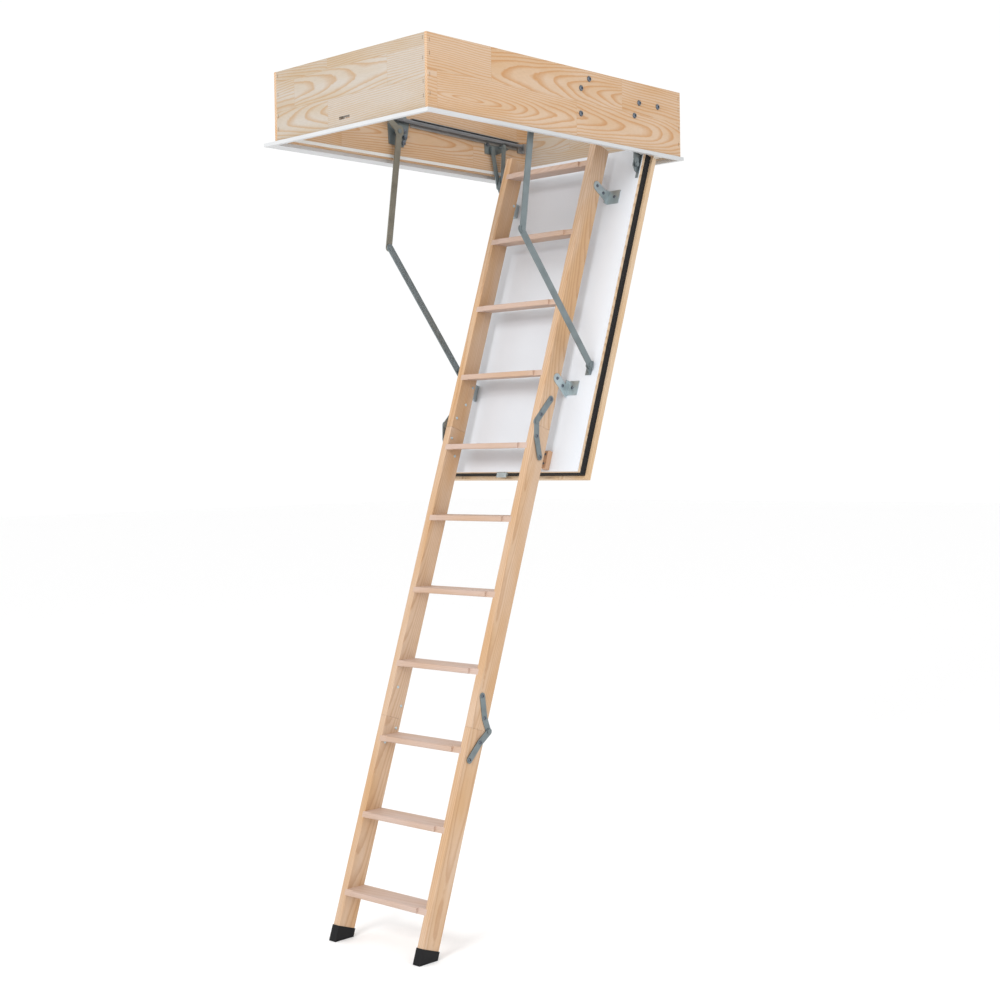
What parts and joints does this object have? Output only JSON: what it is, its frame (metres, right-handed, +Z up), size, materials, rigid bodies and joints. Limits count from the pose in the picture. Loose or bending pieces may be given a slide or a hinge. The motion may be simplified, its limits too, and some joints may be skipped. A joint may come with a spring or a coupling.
{
  "type": "attic ladder",
  "caption": "Folding wooden attic ladder on an insulated hatch, with counterbalance springs and linkage arms in a ceiling casing, shown open.",
  "frame": {"origin": "centre of the casing opening, level with the underside of the casing boards (the ceiling plane)", "axes": "+Z up; +X along the casing towards its hinge end, so the open ladder slopes down towards -X; +Y across the casing towards the ladder's left side"},
  "size_m": [1.216, 0.756, 2.766],
  "materials": {
    "pine_casing": "planed pine",
    "white_trim": "white",
    "white_seal": "white foam",
    "staple_steel": "bright",
    "dark_steel": "blackened",
    "zinc": "blue-grey zinc",
    "spring_steel": "oiled",
    "white_panel": "satin white",
    "foam_core": "insulation",
    "pine_hatch": "planed pine",
    "plywood": "sanded",
    "black_rubber": "matt",
    "hardwood": "planed",
    "pine_stile": "planed pine",
    "black_plastic": "moulded",
    "beech_step": "planed beech"
  },
  "bodies": {
    "casing": {"side_board_right": "pine_casing", "side_board_left": "pine_casing", "hinge_end_board": "pine_casing", "latch_end_board": "pine_casing", "casing_trim": "white_trim", "casing_seal": "white_seal", "corner_staples": "staple_steel", "casing_bolts": "dark_steel", "strike_plate": "zinc", "spring_rails": "zinc", "spring_right": "spring_steel", "spring_left": "spring_steel", "hinge_plates": "zinc", "arm_plates": "zinc"},
    "front_links": {"front_link_right": "zinc", "front_link_left": "zinc"},
    "rear_links": {"rear_link_right": "zinc", "rear_link_left": "zinc"},
    "hatch": {"hatch_inner_sheet": "white_panel", "hatch_core": "foam_core", "hatch_inner_frame": "pine_hatch", "hatch_outer_frame": "pine_hatch", "hatch_outer_sheet": "plywood", "hatch_seal": "black_rubber", "stop_block": "hardwood", "latch_case": "zinc", "hatch_hinge_brackets": "zinc", "arm_brackets": "zinc", "ladder_brackets": "zinc", "bracket_screws": "dark_steel", "top_stile_right": "pine_stile", "top_stile_left": "pine_stile", "step_01": "beech_step", "step_02": "beech_step", "step_03": "beech_step", "step_04": "beech_step", "top_hinge_straps": "zinc", "top_rivets": "staple_steel"},
    "upper_arms": {"upper_arm_right": "zinc", "upper_arm_left": "zinc"},
    "lower_arms": {"lower_arm_right": "zinc", "lower_arm_left": "zinc"},
    "latch_bolt": {"latch_bolt": "zinc"},
    "ladder_middle": {"middle_stile_right": "pine_stile", "middle_stile_left": "pine_stile", "step_05": "beech_step", "step_06": "beech_step", "step_07": "beech_step", "step_08": "beech_step", "middle_hinge_straps": "zinc", "middle_rivets": "staple_steel"},
    "ladder_lower": {"lower_stile_right": "pine_stile", "lower_stile_left": "pine_stile", "step_09": "beech_step", "step_10": "beech_step", "step_11": "beech_step", "lower_hinge_straps": "zinc", "lower_rivets": "staple_steel", "foot_right": "black_plastic", "foot_left": "black_plastic"}
  },
  "joints": [
    {"name": "hatch_fold", "type": "hinge", "parent": "front_links", "child": "hatch", "pos_m": [0.39989, 0, -0.04169], "axis": [0, 1, 0], "range_deg": [0, 89.83], "deforming": ["spring_right", "spring_left"]},
    {"name": "front_link_swing", "type": "hinge", "parent": "casing", "child": "front_links", "pos_m": [0.37067, 0, 0.09361], "axis": [0, 1, 0], "range_deg": [-40.33, 0.5]},
    {"name": "rear_link_swing", "type": "hinge", "parent": "casing", "child": "rear_links", "pos_m": [0.41754, 0, 0.10532], "axis": [0, 1, 0], "range_deg": [-49.43, 0.5]},
    {"name": "upper_arm_swing", "type": "hinge", "parent": "casing", "child": "upper_arms", "pos_m": [-0.0985, 0, 0.0944], "axis": [0, 1, 0], "range_deg": [-0.5, 94.69]},
    {"name": "lower_arm_swing", "type": "hinge", "parent": "hatch", "child": "lower_arms", "pos_m": [0.16653, 0, -0.72019], "axis": [0, 1, 0], "range_deg": [-47.8, 0.5]},
    {"name": "ladder_fold", "type": "hinge", "parent": "hatch", "child": "ladder_middle", "pos_m": [0.00086, 0, -0.90249], "axis": [0, 1, 0], "range_deg": [0, 180]},
    {"name": "lower_section_fold", "type": "hinge", "parent": "ladder_middle", "child": "ladder_lower", "pos_m": [-0.24267, 0, -1.8765], "axis": [0, 1, 0], "range_deg": [-180.5, 0.5]},
    {"name": "latch_slide", "type": "slide", "parent": "hatch", "child": "latch_bolt", "axis": [0.3226, 0, 0.9465], "range_m": [0, 0.012], "stiffness_N_per_m": 400, "springref_m": -0.005}
  ],
  "couplings": [
    {"joint": "front_link_swing", "follows": "hatch_fold", "ratio": -0.44339},
    {"joint": "rear_link_swing", "follows": "hatch_fold", "ratio": -0.54465},
    {"joint": "upper_arm_swing", "follows": "hatch_fold", "ratio": 1.0486},
    {"joint": "lower_arm_swing", "follows": "hatch_fold", "ratio": -0.52659},
    {"joint": "lower_section_fold", "follows": "ladder_fold", "ratio": -1}
  ]
}
